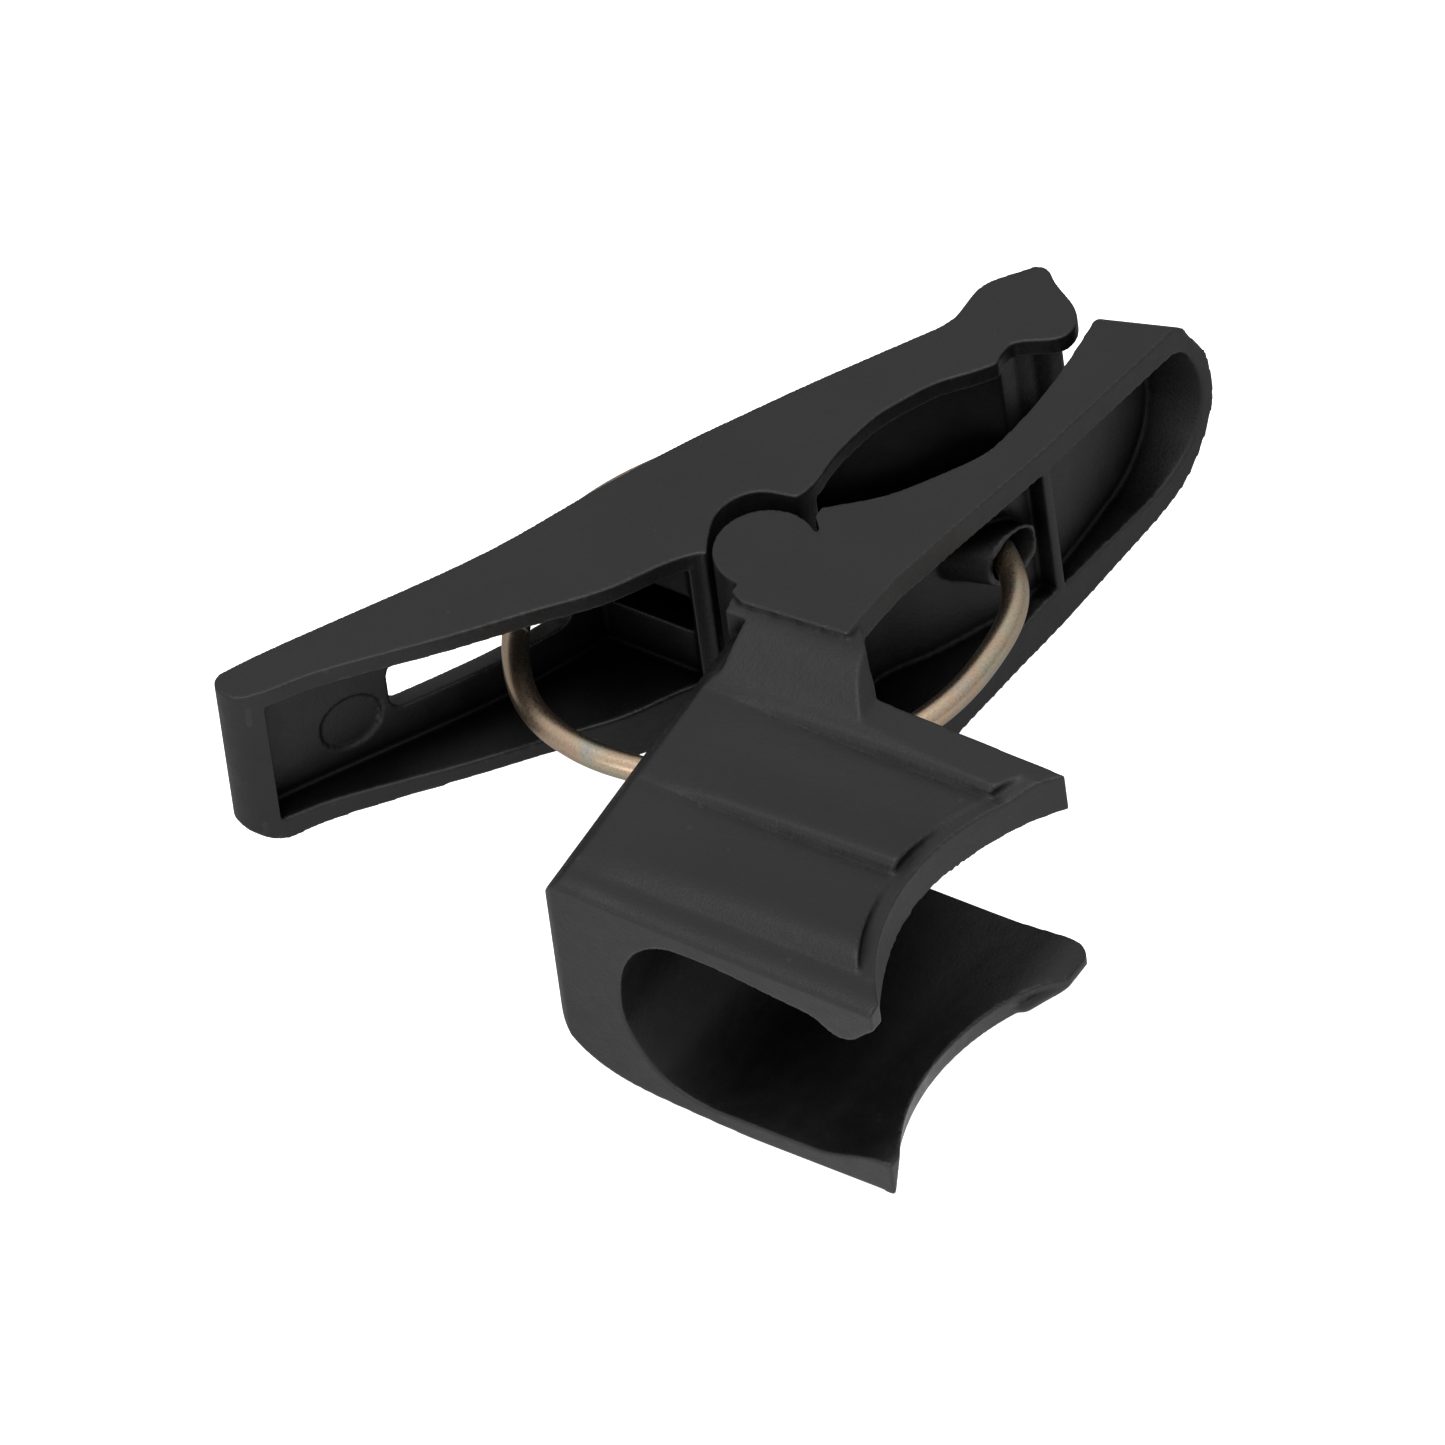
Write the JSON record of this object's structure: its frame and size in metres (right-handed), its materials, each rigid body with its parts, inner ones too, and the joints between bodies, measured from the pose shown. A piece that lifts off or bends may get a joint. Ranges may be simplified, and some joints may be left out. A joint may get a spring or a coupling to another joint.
{
  "type": "spring clip with snap-in holder",
  "caption": "Black plastic clothespin-type clip: two moulded levers, a wire ring spring and a U-shaped snap-in holder moulded onto one lever.",
  "frame": {"origin": "middle of the U-shaped holder channel, half way along it, where the clip is fastened", "axes": "+X along the holder channel towards the jaws, +Y across the levers from the holder mouth towards the plain lever, +Z parallel to the pivot axis"},
  "size_m": [0.0505, 0.0436, 0.0169],
  "materials": {
    "black_plastic": "fine matte moulded texture",
    "zinc_wire": "drawn spring wire with pale yellow zinc plating"
  },
  "bodies": {
    "holder_lever": {"holder_lever": "black_plastic", "ring_spring": "zinc_wire"},
    "plain_lever": {"plain_lever": "black_plastic"}
  },
  "joints": [
    {"name": "jaw_pivot", "type": "hinge", "parent": "holder_lever", "child": "plain_lever", "pos_m": [0.015, 0.0125, 0.00455], "axis": [0, 0, 1], "range_deg": [-1.5, 34], "stiffness_Nm_per_rad": 0.12, "springref_deg": -25.21, "deforming": ["ring_spring"]}
  ]
}
